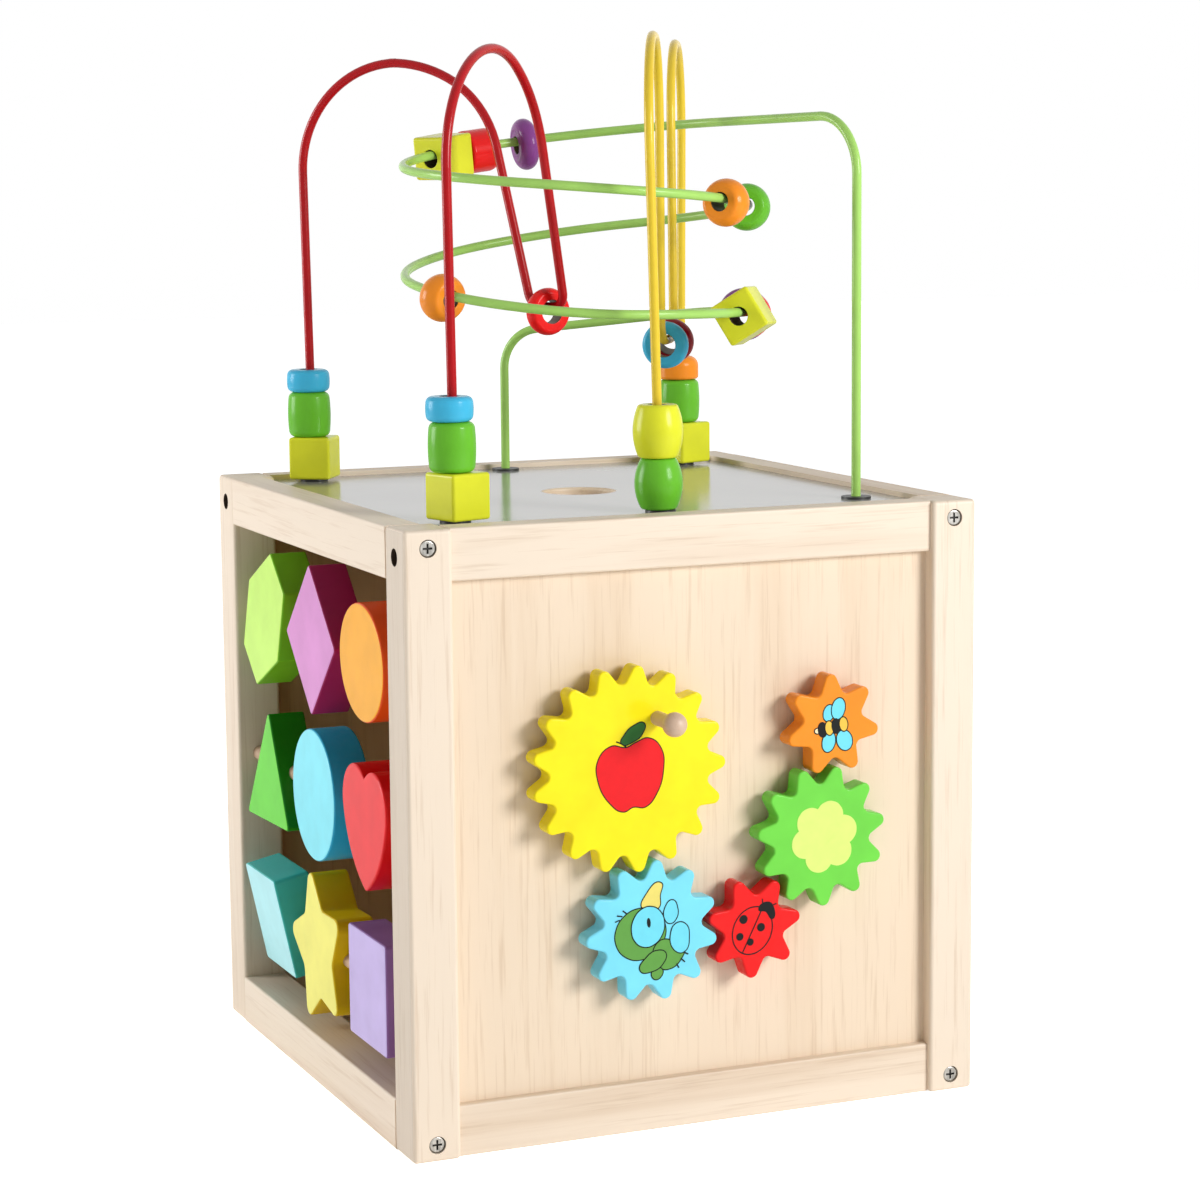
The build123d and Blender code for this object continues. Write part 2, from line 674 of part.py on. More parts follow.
def valley_point(ring):
    """Where a ring hangs in its wire's valley, and the level direction of the wire there."""
    points = WIRE_POINTS[ring.wire]
    last = len(points) // 2
    start, end = Vector(*points[last - 1]), Vector(*points[last])
    direction = (end - start).normalized()
    return (start + end) / 2 + direction * ring.offset + Vector(0, 0, ring.rise), direction


def valley_ring_nodes():
    """Rings hung in the valleys of the red and yellow wires."""
    nodes = {}
    for name, ring in VALLEY_RINGS.items():
        place = bead_place(*valley_point(ring), RING_SAG)
        nodes[name] = place * Rot(ring.tilt, ring.turn, 0) * ring_bead()
    return nodes


def all_nodes():
    """Every node of the cube by name."""
    paths = wire_paths()
    nodes = {**frame_nodes(), **bay_nodes(), **gear_nodes(), **wire_nodes(paths)}
    nodes["front_panel"] = cut(nodes["front_panel"], nodes["gear_pins"])
    return {**nodes, **stack_nodes(), **spiral_bead_nodes(paths["green"]), **valley_ring_nodes()}


def main():
    """Write one STEP file for each node."""
    os.makedirs("parts", exist_ok=True)
    for name, shape in all_nodes().items():
        pieces = shape if isinstance(shape, list) else [shape]
        solids = [solid for piece in pieces for solid in piece.solids()]
        export_step(Compound(children=solids), f"parts/{name}.step")


if __name__ == "__main__":
    main()
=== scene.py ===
import json
from math import cos, hypot, pi, radians, sin

import bmesh
import bpy
from mathutils import Matrix, Vector


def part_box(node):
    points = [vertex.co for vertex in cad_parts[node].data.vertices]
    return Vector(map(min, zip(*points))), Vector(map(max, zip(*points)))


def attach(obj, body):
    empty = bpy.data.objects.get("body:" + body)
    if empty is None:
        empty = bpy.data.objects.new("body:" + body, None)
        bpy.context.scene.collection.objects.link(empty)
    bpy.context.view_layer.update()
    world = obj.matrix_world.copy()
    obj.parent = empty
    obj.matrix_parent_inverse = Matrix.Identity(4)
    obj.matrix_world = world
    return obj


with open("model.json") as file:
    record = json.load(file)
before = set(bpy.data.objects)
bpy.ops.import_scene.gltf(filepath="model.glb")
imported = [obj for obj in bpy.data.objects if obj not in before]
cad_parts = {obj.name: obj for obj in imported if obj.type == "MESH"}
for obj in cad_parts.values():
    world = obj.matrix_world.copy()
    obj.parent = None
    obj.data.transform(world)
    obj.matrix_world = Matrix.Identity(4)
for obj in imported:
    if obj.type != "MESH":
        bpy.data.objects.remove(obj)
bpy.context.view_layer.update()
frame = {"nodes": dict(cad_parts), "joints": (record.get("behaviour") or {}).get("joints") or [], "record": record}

# Wooden activity cube: the CAD model gives every part's shape and place, and this script gives
# each part its material, prints the pictures on the gears, and sets the floor, lights and camera.

MM = 0.001
NODES = frame["nodes"]
NODE_SLOT = {entry["node"]: entry["material_slot"] for entry in frame["record"]["subparts"]}


# ---- Node helpers ----


def new_material(name):
    """Empty node material with its Principled shader."""
    material = bpy.data.materials.new(name)
    material.use_nodes = True
    return material, material.node_tree, material.node_tree.nodes["Principled BSDF"]


def set_inputs(node, **values):
    """Set a node's inputs; underscores in their names stand for spaces."""
    for key, value in values.items():
        node.inputs[key.replace("_", " ")].default_value = value


def add_node(tree, kind, **values):
    """A node with some of its inputs set."""
    node = tree.nodes.new(kind)
    set_inputs(node, **values)
    return node


def coordinates(tree, scale=(1.0, 1.0, 1.0), turn=(0.0, 0.0, 0.0)):
    """Object coordinates, scaled and then turned."""
    place = tree.nodes.new("ShaderNodeTexCoord")
    mapping = add_node(tree, "ShaderNodeMapping", Scale=scale, Rotation=turn)
    tree.links.new(place.outputs["Object"], mapping.inputs["Vector"])
    return mapping.outputs["Vector"]


def noise(tree, vector, scale, detail=4.0, roughness=0.55, distortion=0.0):
    """Noise over a vector."""
    node = add_node(
        tree, "ShaderNodeTexNoise", Scale=scale, Detail=detail, Roughness=roughness, Distortion=distortion
    )
    tree.links.new(vector, node.inputs["Vector"])
    return node.outputs["Fac"]


def ramp(tree, value, stops):
    """Colour that follows a value: the stops are (value, colour)."""
    node = tree.nodes.new("ShaderNodeValToRGB")
    elements = node.color_ramp.elements
    while len(elements) < len(stops):
        elements.new(0.5)
    for element, (position, colour) in zip(elements, stops):
        element.position = position
        element.color = (*colour, 1.0)
    tree.links.new(value, node.inputs["Fac"])
    return node.outputs["Color"]


def multiplied(tree, amount, first, second):
    """The first colour multiplied by the second, by an amount from 0 to 1."""
    node = tree.nodes.new("ShaderNodeMix")
    node.data_type = "RGBA"
    node.blend_type = "MULTIPLY"
    factor, *colours = [s for s in node.inputs if s.enabled and s.name in ("Factor", "A", "B")]
    factor.default_value = amount
    for socket, colour in zip(colours, (first, second)):
        tree.links.new(colour, socket)
    return next(s for s in node.outputs if s.enabled)


def colour_by(tree, shader, value, stops):
    """The shader's colour follows a value."""
    tree.links.new(ramp(tree, value, stops), shader.inputs["Base Color"])


def bump(tree, shader, height, strength, distance):
    """Bump on the shader's normal."""
    node = add_node(tree, "ShaderNodeBump", Strength=strength, Distance=distance)
    tree.links.new(height, node.inputs["Height"])
    tree.links.new(node.outputs["Normal"], shader.inputs["Normal"])


def scaled(colour, factor):
    """A colour made lighter or darker."""
    return tuple(min(1.0, channel * factor) for channel in colour)


# ---- Materials ----

# Noise cells per metre, across the grain and along it
FIGURE_ACROSS = 26.0
FIGURE_ALONG = 1.3
PORE_ACROSS = 420.0
PORE_ALONG = 14.0
PORE_TONE = (0.80, 0.73, 0.66)
PORE_AMOUNT = 0.55
WHITE = (1.0, 1.0, 1.0)


def grain_scale(axis, across, along):
    """Scale vector of a grain that runs along an axis."""
    return tuple(along if name == axis else across for name in "XYZ")


def wood(name, axis, light, dark, roughness=0.5, seed=0.0):
    """Lacquered wood: broad figure, fine streaks and short dark pores along one axis."""
    material, tree, shader = new_material(name)
    turn = (seed * 0.37, seed * 0.61, seed * 0.23)
    broad = coordinates(tree, grain_scale(axis, FIGURE_ACROSS, FIGURE_ALONG), turn)
    figure = noise(tree, broad, 1.0, detail=5.0, roughness=0.6, distortion=0.6)
    colour = ramp(tree, figure, [(0.30, dark), (0.50, scaled(light, 0.97)), (0.72, light)])
    fine = coordinates(tree, grain_scale(axis, PORE_ACROSS, PORE_ALONG), turn)
    streaks = noise(tree, fine, 1.0, detail=3.0, roughness=0.7)
    tone = ramp(tree, streaks, [(0.32, PORE_TONE), (0.46, WHITE)])
    tree.links.new(multiplied(tree, PORE_AMOUNT, colour, tone), shader.inputs["Base Color"])
    set_inputs(shader, Roughness=roughness, Coat_Weight=0.15, Coat_Roughness=0.35)
    bump(tree, shader, streaks, 0.25, 0.2 * MM)
    return material


def paint(name, colour):
    """Glossy toy paint over wood: faint grain under it, and a slightly uneven tone."""
    material, tree, shader = new_material(name)
    tone = noise(tree, coordinates(tree), 45.0, detail=3.0)
    stops = [(0.25, scaled(colour, 0.90)), (0.6, colour), (0.85, scaled(colour, 1.06))]
    colour_by(tree, shader, tone, stops)
    set_inputs(shader, Roughness=0.24, Coat_Weight=0.08, Coat_Roughness=0.10, Specular_IOR_Level=0.14)
    grain = noise(tree, coordinates(tree, (300.0, 300.0, 60.0)), 1.0, detail=3.0)
    bump(tree, shader, grain, 0.06, 0.2 * MM)
    return material


def coated_wire(name, colour):
    """Steel wire with a thick glossy coat."""
    material, tree, shader = new_material(name)
    tone = noise(tree, coordinates(tree), 90.0, detail=2.0)
    colour_by(tree, shader, tone, [(0.3, scaled(colour, 0.94)), (0.7, colour)])
    set_inputs(shader, Roughness=0.22, Specular_IOR_Level=0.25)
    bump(tree, shader, tone, 0.02, 0.1 * MM)
    return material


def laminate(name, colour):
    """Glossy light grey laminate with a faint mottle."""
    material, tree, shader = new_material(name)
    tone = noise(tree, coordinates(tree), 18.0, detail=5.0)
    colour_by(tree, shader, tone, [(0.3, scaled(colour, 0.96)), (0.7, colour)])
    set_inputs(shader, Roughness=0.16, Specular_IOR_Level=0.7)
    fine = noise(tree, coordinates(tree), 260.0, detail=2.0)
    bump(tree, shader, fine, 0.03, 0.2 * MM)
    return material


def steel(name, dull, bright):
    """Zinc-plated steel with fine scratches."""
    material, tree, shader = new_material(name)
    tone = noise(tree, coordinates(tree, (900.0, 900.0, 200.0)), 1.0)
    colour_by(tree, shader, tone, [(0.3, dull), (0.7, bright)])
    set_inputs(shader, Metallic=1.0, Roughness=0.28)
    bump(tree, shader, tone, 0.15, 0.1 * MM)
    return material


def plastic(name, colour):
    """Dull moulded plastic."""
    material, tree, shader = new_material(name)
    tone = noise(tree, coordinates(tree), 500.0, detail=2.0)
    colour_by(tree, shader, tone, [(0.3, scaled(colour, 0.8)), (0.7, colour)])
    set_inputs(shader, Roughness=0.45)
    bump(tree, shader, tone, 0.1, 0.2 * MM)
    return material


def ink(name, colour):
    """Flat printed ink with a faint unevenness."""
    material, tree, shader = new_material(name)
    tone = noise(tree, coordinates(tree), 220.0, detail=3.0)
    colour_by(tree, shader, tone, [(0.2, scaled(colour, 0.93)), (0.7, colour)])
    set_inputs(shader, Roughness=0.35, Specular_IOR_Level=0.15)
    return material


WOOD_LIGHT = (0.83, 0.70, 0.56)
WOOD_DARK = (0.67, 0.52, 0.38)
PLY_LIGHT = (0.82, 0.665, 0.50)
PLY_DARK = (0.74, 0.575, 0.41)
# Rougher wood for the panels' faces inside the box: its darker colour is painted shade
INSIDE_SHADE_LIGHT = (0.62, 0.42, 0.22)
INSIDE_SHADE_DARK = (0.50, 0.32, 0.16)
DOWEL_LIGHT = (0.66, 0.47, 0.34)
DOWEL_DARK = (0.48, 0.32, 0.21)
LID_GREY = (0.39, 0.39, 0.375)
SCREW_DULL = (0.26, 0.25, 0.23)
SCREW_BRIGHT = (0.60, 0.58, 0.54)
# Near black painted as shade in the screws' cross recesses and on the screws sunk in the side holes
RECESS_SHADE_BLACK = (0.03, 0.025, 0.02)
GROMMET_BLACK = (0.02, 0.02, 0.02)
# Dark brown painted as shade on the walls of the side screws' holes
HOLE_SHADE_BROWN = (0.06, 0.035, 0.02)
# Dark brown painted as shade on the walls of the beads' holes
BORE_SHADE_BROWN = (0.09, 0.06, 0.04)

PAINT_COLOURS = {
    "paint_yellow": (0.97, 0.82, 0.01),
    "paint_cyan": (0.06, 0.50, 0.78),
    "paint_red": (0.88, 0.012, 0.012),
    "paint_green": (0.15, 0.53, 0.03),
    "paint_orange": (0.94, 0.29, 0.02),
    "paint_magenta": (0.42, 0.12, 0.48),
    "paint_purple": (0.25, 0.06, 0.28),
    "paint_lemon": (0.76, 0.78, 0.03),
    "paint_crimson": (0.30, 0.005, 0.012),
}
WIRE_COLOURS = {
    "wire_red": (0.46, 0.002, 0.006),
    "wire_yellow": (0.84, 0.60, 0.04),
    "wire_green": (0.39, 0.69, 0.15),
}
# Gears whose paint is lighter than their slot's, and each block's paint as lit on its two broad faces, with a
# darker copy for its edges that is painted shade
GEAR_COLOURS = {"green_gear": (0.17, 0.68, 0.07), "cyan_gear": (0.21, 0.74, 0.94)}
BLOCK_LIT_AND_SHADED_PAINT = {
    "block_hexagon": ((0.58, 0.90, 0.15), (0.22, 0.62, 0.02)),
    "block_diamond": ((0.70, 0.28, 0.62), (0.40, 0.02, 0.12)),
    "block_oval": ((0.96, 0.43, 0.015), (0.96, 0.10, 0.01)),
    "block_triangle": ((0.13, 0.68, 0.025), (0.015, 0.26, 0.008)),
    "block_circle": ((0.24, 0.82, 0.94), (0.03, 0.50, 0.80)),
    "block_heart": ((0.88, 0.03, 0.035), (0.86, 0.008, 0.012)),
    "block_oblong": ((0.46, 0.88, 0.93), (0.06, 0.58, 0.56)),
    "block_star": ((0.93, 0.87, 0.18), (0.86, 0.60, 0.006)),
    "block_square": ((0.57, 0.46, 0.80), (0.32, 0.16, 0.44)),
}
GRAIN_AXIS = {"post": "Z", "end_rails": "X", "side_rails": "Y"}


# Cosines of how squarely a face looks along an axis
STEEP = 0.5
SQUARE = 0.9
FLAT = 0.99
INWARD = 0.2
BLOCK_FLAT = 0.8


def set_material(node, *materials):
    """Give a CAD node its materials."""
    slots = NODES[node].data.materials
    slots.clear()
    for material in materials:
        slots.append(material)


def sort_faces(node, pick):
    """Give each face of a node the material whose number the pick gives it."""
    for face in NODES[node].data.polygons:
        face.material_index = pick(face)


def faces_inward(face):
    """1 for a wall face that looks into the box, and 0 for any other."""
    level = Vector((face.center.x, face.center.y, 0.0))
    return int(abs(face.normal.z) < STEEP and face.normal.dot(level.normalized()) < -INWARD)


def wooden_nodes():
    """Posts and rails with the grain along each piece, and the plywood panels, with a rougher, darker wood inside
    the box whose darkness is painted shade.
    """
    for number, name in enumerate(sorted(NODES)):
        if NODE_SLOT[name] == "rubberwood":
            axis = next(axis for key, axis in GRAIN_AXIS.items() if key in name)
            set_material(name, wood(f"wood_{name}", axis, WOOD_LIGHT, WOOD_DARK, seed=number))
        elif NODE_SLOT[name] == "plywood":
            axis = "X" if name == "base_panel" else "Z"
            outer = wood(f"ply_{name}", axis, PLY_LIGHT, PLY_DARK, seed=number)
            set_material(name, outer, wood(f"inside_shade_{name}", axis, INSIDE_SHADE_LIGHT, INSIDE_SHADE_DARK, 0.7, number))
            # Faces that look into the box take the second, darker wood as painted shade
            sort_faces(name, faces_inward)
    for name, axis in (("shape_rods", "Y"), ("gear_pins", "Y"), ("gear_knob", "Y")):
        set_material(name, wood(f"wood_{name}", axis, DOWEL_LIGHT, DOWEL_DARK, roughness=0.42))


def lid_materials():
    """The lid's upper face is laminate and its edges and holes show plywood."""
    edges = wood("lid_edges", "X", PLY_LIGHT, PLY_DARK)
    set_material("top_panel", laminate("lid_laminate", LID_GREY), edges)
    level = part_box("top_panel")[1].z - 0.1 * MM
    sort_faces("top_panel", lambda face: 0 if face.normal.z > FLAT and face.center.z > level else 1)


def painted_nodes():
    """Beads, gears, wires and grommets."""
    finishes = {slot: paint(slot, colour) for slot, colour in PAINT_COLOURS.items()}
    finishes.update({slot: coated_wire(slot, colour) for slot, colour in WIRE_COLOURS.items()})
    finishes["grommet_black"] = plastic("grommet_black", GROMMET_BLACK)
    for name, slot in NODE_SLOT.items():
        if name in GEAR_COLOURS:
            set_material(name, paint(f"paint_{name}", GEAR_COLOURS[name]))
        elif slot in finishes:
            set_material(name, finishes[slot])


def screw_materials():
    """Steel screw heads whose cross recesses are painted near black as shade, and the screws deep in the side
    faces' holes painted the same near black as shade.
    """
    dark = plastic("screw_recess_shade", RECESS_SHADE_BLACK)
    set_material("end_screws", steel("screw_steel", SCREW_DULL, SCREW_BRIGHT), dark)
    recess_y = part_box("end_screws")[1].y - 0.3 * MM
    sort_faces("end_screws", lambda face: 0 if abs(face.center.y) > recess_y else 1)
    set_material("side_screws", dark)


def post_materials():
    """The walls of the side screws' holes are painted dark brown as shade in the holes, and the front left post's
    left face gets a darker wood as painted shade.
    """
    low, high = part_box("side_screws")
    hole_z, radius = (low.z + high.z) / 2, (high.z - low.z) / 2
    hole_y = high.y - radius
    hole_shade = plastic("hole_wall_shade", HOLE_SHADE_BROWN)

    def pick(face):
        apart = hypot(abs(face.center.y) - hole_y, face.center.z - hole_z)
        if apart < radius + 0.8 * MM and abs(face.normal.x) < SQUARE:
            return 1
        return 2 if face.normal.x < -SQUARE else 0

    for name in (n for n in sorted(NODES) if n.startswith("post_")):
        grain = NODES[name].data.materials[0]
        painted_shade_left_face = grain
        # The darker wood on this post's left face is painted shade.
        if name == "post_front_left":
            shaded = scaled(WOOD_LIGHT, 0.80), scaled(WOOD_DARK, 0.72)
            painted_shade_left_face = wood(f"wood_{name}_side", "Z", *shaded, seed=2.5)
        set_material(name, grain, hole_shade, painted_shade_left_face)
        sort_faces(name, pick)


def bead_bores():
    """The walls of the beads' holes are painted dark brown as shade in the holes: they look towards the middle of
    their bead.
    """
    bore_shade = plastic("bead_bore_shade", BORE_SHADE_BROWN)
    for name, slot in NODE_SLOT.items():
        if slot not in PAINT_COLOURS or name.endswith("gear") or name.startswith("block"):
            continue
        low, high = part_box(name)
        middle = (low + high) / 2
        set_material(name, NODES[name].data.materials[0], bore_shade)
        sort_faces(name, lambda face: int(face.normal.dot(face.center - middle) < 0))


def block_materials():
    """Each block's two broad faces take its paint as it shows in the light, and its edges a darker copy that is
    painted shade.
    """
    for name, (flat, painted_shade_edge) in BLOCK_LIT_AND_SHADED_PAINT.items():
        # The darker copy on the edges is painted shade: the bay shades the blocks' sides.
        set_material(name, paint(f"{name}_flat", flat), paint(f"{name}_edge", painted_shade_edge))
        sort_faces(name, lambda face: 0 if abs(face.normal.x) > BLOCK_FLAT else 1)


def smooth_nodes():
    """Round faces shade smoothly and edges stay crisp."""
    for node in NODES.values():
        polygons = node.data.polygons
        polygons.foreach_set("use_smooth", [True] * len(polygons))


# ---- Pictures printed on the gears ----

INKS = {
    "ink_red": (0.84, 0.015, 0.02),
    "ink_leaf": (0.03, 0.16, 0.03),
    "ink_line": (0.012, 0.012, 0.012),
    "ink_green": (0.13, 0.36, 0.07),
    "ink_beak": (0.84, 0.72, 0.18),
    "ink_sky": (0.18, 0.72, 0.88),
    "ink_flower": (0.72, 0.88, 0.22),
    "ink_cream": (0.90, 0.80, 0.50),
    "ink_amber": (0.90, 0.56, 0.08),
}
# The first mark's lift off the gear's face, each later mark's further lift, and half a patch's thickness
INK_STEP = 0.06 * MM
INK_LAYER = 0.012 * MM
INK_THICK = 0.03 * MM
LINE_RADIUS = 0.32 * MM
LINE_FLATNESS = 0.1

# A picture is a list of marks, in millimetres about its own centre, from the back one forward:
# (kind, ink, points, whether it closes), where a "fill" is a smooth patch and a "line" is drawn.


def patch(colour, points):
    """A filled mark."""
    return ("fill", colour, points, True)


def stroke(points, closed=False):
    """A drawn mark."""
    return ("line", "ink_line", points, closed)


def oval(x, z, half_long, half_wide, tilt=0.0, count=10):
    """Points round a tilted oval."""
    a = radians(tilt)
    points = []
    for i in range(count):
        t = 2 * pi * i / count
        along, across = half_long * cos(t), half_wide * sin(t)
        points.append((x + along * cos(a) - across * sin(a), z + along * sin(a) + across * cos(a)))
    return points


def outlined(colour, points):
    """A patch with a drawn edge."""
    return [patch(colour, points), stroke(points, closed=True)]


def apple_picture():
    """Round red apple with a short stalk and one leaf."""
    skin = [
        (-1.5, 11.0), (-9.5, 12.5), (-16.5, 6.5), (-17.0, -3.5), (-11.5, -15.0), (-5.0, -19.8),
        (0.5, -18.2), (6.5, -19.0), (13.0, -13.0), (17.0, -2.0), (16.5, 8.0), (10.5, 14.0), (3.5, 12.8),
    ]
    leaf = [(-4.0, 13.2), (-2.2, 17.2), (2.8, 21.0), (8.4, 21.4), (7.2, 16.6), (3.2, 13.6)]
    stalk = [(-6.6, 14.4), (-4.2, 13.2), (-1.6, 11.2)]
    return [*outlined("ink_red", skin), *outlined("ink_leaf", leaf), stroke(stalk)]


def bird_picture():
    """Small perching bird looking up, with its wings out to one side."""
    head = oval(-6.6, -0.6, 13.4, 12.6, 20.0)
    chest = [
        (2.7, -5.4), (8.0, -4.6), (12.2, -8.0), (16.2, -9.0),
        (14.4, -15.4), (9.0, -19.2), (3.7, -18.4), (-0.3, -12.0),
    ]
    beak = [(-5.7, 12.0), (-3.9, 18.2), (4.3, 23.6), (3.9, 17.4), (2.9, 11.2)]
    far_wing = [(6.2, 5.2), (6.4, 11.4), (10.2, 14.6), (13.0, 10.4), (12.2, 5.0), (9.0, 3.0)]
    near_wing = [(9.2, -1.6), (12.4, 3.0), (17.2, 2.0), (19.0, -4.0), (16.4, -11.6), (11.0, -10.2)]
    tail = [(-7.0, -18.4), (-3.6, -12.2), (2.0, -9.4), (6.6, -11.2), (5.0, -16.4), (0.0, -19.4)]
    claw = [(-0.6, -19.4), (4.6, -18.8), (3.4, -23.2), (0.0, -23.2)]
    plumes = [
        [(-19.8, 6.6), (-17.4, 7.4)], [(-18.8, 9.6), (-16.0, 9.0)], [(-15.8, 11.8), (-13.8, 10.2)],
        [(15.8, -11.6), (18.4, -13.0)], [(14.4, -14.6), (16.6, -16.6)], [(12.2, -17.0), (13.4, -19.2)],
    ]
    eye_patch = oval(-2.7, 2.6, 10.0, 8.6, 78.0)
    marks = [
        *outlined("ink_beak", beak), *outlined("ink_green", head), *outlined("ink_sky", far_wing),
        *outlined("ink_green", chest), *outlined("ink_sky", near_wing), *outlined("ink_green", claw),
        *outlined("ink_green", tail), *outlined("ink_sky", eye_patch),
        patch("ink_line", oval(-2.3, 4.6, 2.4, 1.0, 95.0)),
    ]
    return marks + [stroke(points) for points in plumes]


def ladybird_picture():
    """Ladybird from above: round wings, dark head and four spots."""
    tilt = 63.0
    along = Vector((cos(radians(tilt)), sin(radians(tilt))))
    head = [(3.2, 10.0), (8.4, 13.6), (12.0, 9.4), (11.0, 4.6), (7.0, 8.6)]
    wings = oval(0.0, 0.0, 12.0, 10.4, tilt, 14)
    seam = [tuple(along * -11.6), tuple(along * 0.5), tuple(along * 10.5)]
    feelers = [[(5.6, 12.4), (5.4, 15.2)], [(10.6, 11.4), (13.0, 12.2)]]
    spots = [(-4.8, 6.0, 2.2), (4.6, 1.2, 2.1), (-6.8, -2.4, 1.9), (-1.2, -5.6, 1.8)]
    marks = [stroke(wings, closed=True), patch("ink_line", head), stroke(seam)]
    marks += [stroke(points) for points in feelers]
    return marks + [patch("ink_line", oval(x, z, r, r)) for x, z, r in spots]


def flower_picture():
    """Plain flower with six round petals."""
    middle_x, middle_radius = 0.6, 11.5
    petals, reach, radius, turn = 6, 10.6, 7.4, 0.25
    marks = [patch("ink_flower", oval(middle_x, 0.0, middle_radius, middle_radius))]
    for i in range(petals):
        angle = 2 * pi * i / petals + turn
        petal = oval(middle_x + reach * cos(angle), reach * sin(angle), radius, radius)
        marks.append(patch("ink_flower", petal))
    return marks


def bee_picture():
    """Bee from above with four pale wings and a striped body."""
    wings = [
        (-3.0, 5.8, 4.2, 3.0, 75.0), (2.2, 7.6, 5.4, 3.7, 78.0),
        (-3.0, -8.4, 5.2, 3.6, 78.0), (5.6, -8.2, 5.3, 4.2, -68.0),
    ]
    stripes = [(-6.4, -2.2), (-2.8, -1.6), (1.0, -0.9), (5.0, -0.2)]
    marks = []
    for wing in wings:
        marks += outlined("ink_sky", oval(*wing))
    marks += outlined("ink_cream", oval(-9.2, -2.6, 1.6, 1.4))
    for (x, z), colour in zip(stripes, ("ink_line", "ink_amber") * 2):
        marks += outlined(colour, oval(x, z, 3.6, 2.3, 98.0))
    return marks


# Each gear's picture, its offset from the gear's centre in millimetres, and its tilt in degrees
PICTURES = {
    "yellow_gear": (apple_picture, (0.0, 0.2), 3.0),
    "cyan_gear": (bird_picture, (0.0, 0.0), 0.0),
    "red_gear": (ladybird_picture, (-1.3, -1.2), 0.0),
    "green_gear": (flower_picture, (0.6, -0.2), 0.0),
    "orange_gear": (bee_picture, (0.3, 0.2), 0.0),
}


def mark_mesh(kind, points, closed):
    """Mesh of one mark from a smooth curve through its points: a thin patch, or a flattened line."""
    curve = bpy.data.curves.new("mark", "CURVE")
    curve.dimensions = "2D" if kind == "fill" else "3D"
    curve.resolution_u = 8
    if kind == "fill":
        curve.fill_mode = "BOTH"
        curve.extrude = INK_THICK
    else:
        curve.bevel_depth = LINE_RADIUS
        curve.bevel_resolution = 2
    spline = curve.splines.new("BEZIER")
    spline.bezier_points.add(len(points) - 1)
    spline.use_cyclic_u = closed
    for point, (x, z) in zip(spline.bezier_points, points):
        point.co = (x * MM, z * MM, 0.0)
        point.handle_left_type = point.handle_right_type = "AUTO"
    holder = bpy.data.objects.new("mark", curve)
    bpy.context.scene.collection.objects.link(holder)
    bpy.context.view_layer.update()
    mesh = bpy.data.meshes.new_from_object(holder)
    bpy.data.objects.remove(holder)
    bpy.data.curves.remove(curve)
    if kind == "line":
        mesh.transform(Matrix.Diagonal((1.0, 1.0, LINE_FLATNESS, 1.0)))
    return mesh


def gear_hub(gear):
    """The pin's place behind a gear, on the gear's axis."""
    joint = next(j for j in frame["joints"] if j["child"] == gear)
    return Vector(joint["pos_m"])


def picture_mesh(name, marks, used):
    """One mesh of all the marks, each above the one before; its materials go by the used inks."""
    built = bmesh.new()
    for layer, (kind, colour, points, closed) in enumerate(marks):
        mesh = mark_mesh(kind, points, closed)
        mesh.transform(Matrix.Translation((0.0, 0.0, INK_STEP + layer * INK_LAYER)))
        first = len(built.faces)
        built.from_mesh(mesh)
        built.faces.ensure_lookup_table()
        for face in built.faces[first:]:
            face.material_index = used.index(colour)
        bpy.data.meshes.remove(mesh)
    mesh = bpy.data.meshes.new(name)
    built.to_mesh(mesh)
    built.free()
    return mesh


def print_picture(gear, marks, offset, tilt, inks):
    """A gear's whole picture as one thin piece, standing just proud of its face."""
    used = sorted({colour for _, colour, *_ in marks})
    mesh = picture_mesh(f"picture_{gear}", marks, used)
    hub = gear_hub(gear)
    face_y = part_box(gear)[0].y
    upright = Matrix.Rotation(radians(90), 4, "X") @ Matrix.Rotation(radians(tilt), 4, "Z")
    place = Matrix.Translation((hub.x + offset[0] * MM, face_y, hub.z + offset[1] * MM))
    mesh.transform(place @ upright)
    for colour in used:
        mesh.materials.append(inks[colour])
    piece = bpy.data.objects.new(f"picture_{gear}", mesh)
    bpy.context.scene.collection.objects.link(piece)
    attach(piece, gear)


def print_pictures():
    """A picture on each gear's face."""
    inks = {name: ink(name, colour) for name, colour in INKS.items()}
    for gear, (picture, offset, tilt) in PICTURES.items():
        print_picture(gear, picture(), offset, tilt, inks)


# ---- Floor, light and camera ----

CAMERA_PLACE = Vector((-619.4, -1480.95, 464.14)) * MM
CAMERA_AZIMUTH = radians(23.071)
CAMERA_DIP = radians(7.944)
CAMERA_ROLL = radians(0.499)
CAMERA_LENS = 93.13
AMBIENT = 0.22
FLOOR_BOUNCE = 0.22
FLOOR_GLOW = 0.78
FLOOR_HALF = 8.0
LIGHT_AIM = (0.0, 0.0, 0.25)
# Each light's place and side in metres, and its power in watts
LIGHTS = {"key": ((1.15, -1.9, 1.0), 0.8, 41.0), "left": ((-1.9, 1.0, 0.7), 1.0, 29.5)}


def add_camera():
    """Camera at the viewing angle: to the left of the front and a little above the lid."""
    forward = Vector((
        sin(CAMERA_AZIMUTH) * cos(CAMERA_DIP), cos(CAMERA_AZIMUTH) * cos(CAMERA_DIP), -sin(CAMERA_DIP)
    ))
    level = forward.cross(Vector((0, 0, 1))).normalized()
    down = forward.cross(level)
    right = level * cos(CAMERA_ROLL) + down * sin(CAMERA_ROLL)
    up = level * sin(CAMERA_ROLL) - down * cos(CAMERA_ROLL)
    camera = bpy.data.objects.new("camera", bpy.data.cameras.new("camera"))
    camera.data.lens = CAMERA_LENS
    camera.data.sensor_width = 36.0
    turn = Matrix((right, up, -forward)).transposed()
    camera.matrix_world = Matrix.Translation(CAMERA_PLACE) @ turn.to_4x4()
    bpy.context.scene.collection.objects.link(camera)
    bpy.context.scene.camera = camera


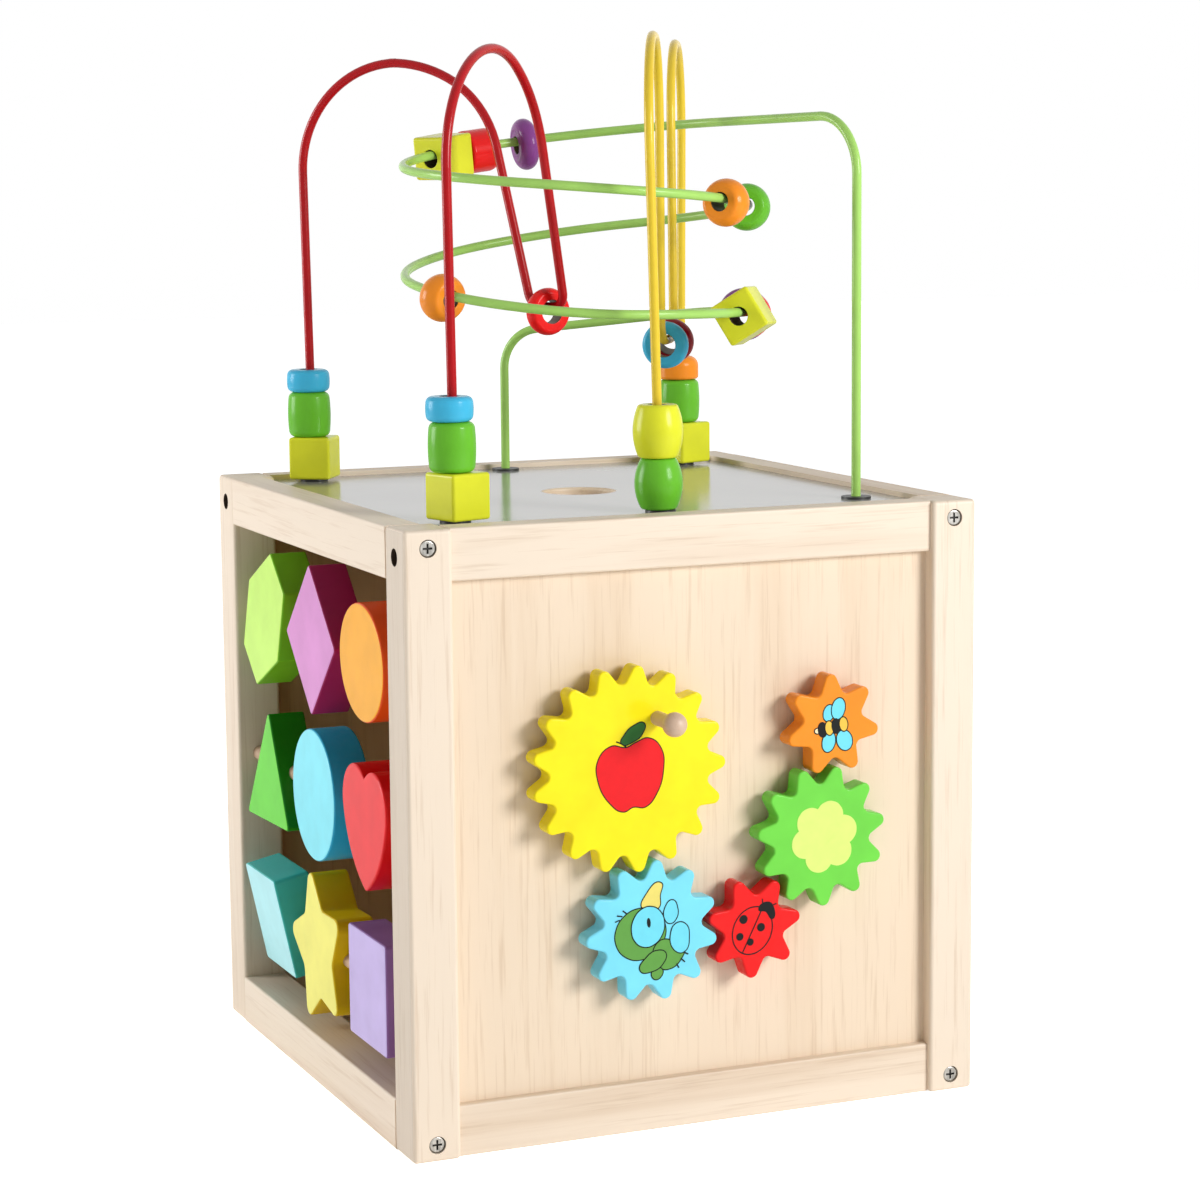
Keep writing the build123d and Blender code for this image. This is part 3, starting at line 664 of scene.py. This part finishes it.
def strength_by_ray(tree, lighting, seen, ray_kinds):
    """A strength that is one value for the light on the object and another for the rays that see it."""
    path = tree.nodes.new("ShaderNodeLightPath")
    strength = add_node(tree, "ShaderNodeMapRange", To_Min=lighting, To_Max=seen)
    total = tree.nodes.new("ShaderNodeMath")
    total.operation = "ADD"
    total.inputs[1].default_value = 0.0
    for socket, kind in zip(total.inputs, ray_kinds):
        tree.links.new(path.outputs[kind], socket)
    tree.links.new(total.outputs["Value"], strength.inputs["Value"])
    return strength.outputs["Result"]


def add_floor():
    """Plain pale floor with a faint shadow."""
    mesh = bpy.data.meshes.new("floor")
    corners = [(x * FLOOR_HALF, y * FLOOR_HALF, 0) for x, y in ((-1, -1), (1, -1), (1, 1), (-1, 1))]
    mesh.from_pydata(corners, [], [(0, 1, 2, 3)])
    floor = bpy.data.objects.new("floor", mesh)
    material, tree, shader = new_material("pale_floor")
    set_inputs(shader, Base_Color=(0.93, 0.93, 0.93, 1.0), Roughness=0.6, Specular_IOR_Level=0.2)
    set_inputs(shader, Emission_Color=(*WHITE, 1.0))
    glow = strength_by_ray(tree, FLOOR_BOUNCE, FLOOR_GLOW, ["Is Camera Ray"])
    tree.links.new(glow, shader.inputs["Emission Strength"])
    mesh.materials.append(material)
    bpy.context.scene.collection.objects.link(floor)


def add_light(name, place, size, power):
    """Soft square light aimed at the middle of the cube."""
    data = bpy.data.lights.new(name, "AREA")
    data.size = size
    data.energy = power
    light = bpy.data.objects.new(name, data)
    light.location = place
    light.rotation_mode = "QUATERNION"
    light.rotation_quaternion = (Vector(LIGHT_AIM) - Vector(place)).to_track_quat("-Z", "Y")
    bpy.context.scene.collection.objects.link(light)


def add_world():
    """Soft even light from all round; the background and what gloss mirrors of it are white."""
    world = bpy.data.worlds.new("white_surroundings")
    world.use_nodes = True
    soft = world.node_tree.nodes["Background"]
    soft.inputs["Color"].default_value = (*WHITE, 1.0)
    strength = strength_by_ray(world.node_tree, AMBIENT, 1.0, ["Is Camera Ray", "Is Glossy Ray"])
    world.node_tree.links.new(strength, soft.inputs["Strength"])
    bpy.context.scene.world = world


def add_lights():
    """A key light from the right of the front, and a broad light from the left."""
    for name, (place, size, power) in LIGHTS.items():
        add_light(name, place, size, power)
    bpy.context.scene.view_settings.view_transform = "Standard"


wooden_nodes()
lid_materials()
painted_nodes()
bead_bores()
screw_materials()
post_materials()
block_materials()
smooth_nodes()
print_pictures()
add_floor()
add_world()
add_lights()
add_camera()
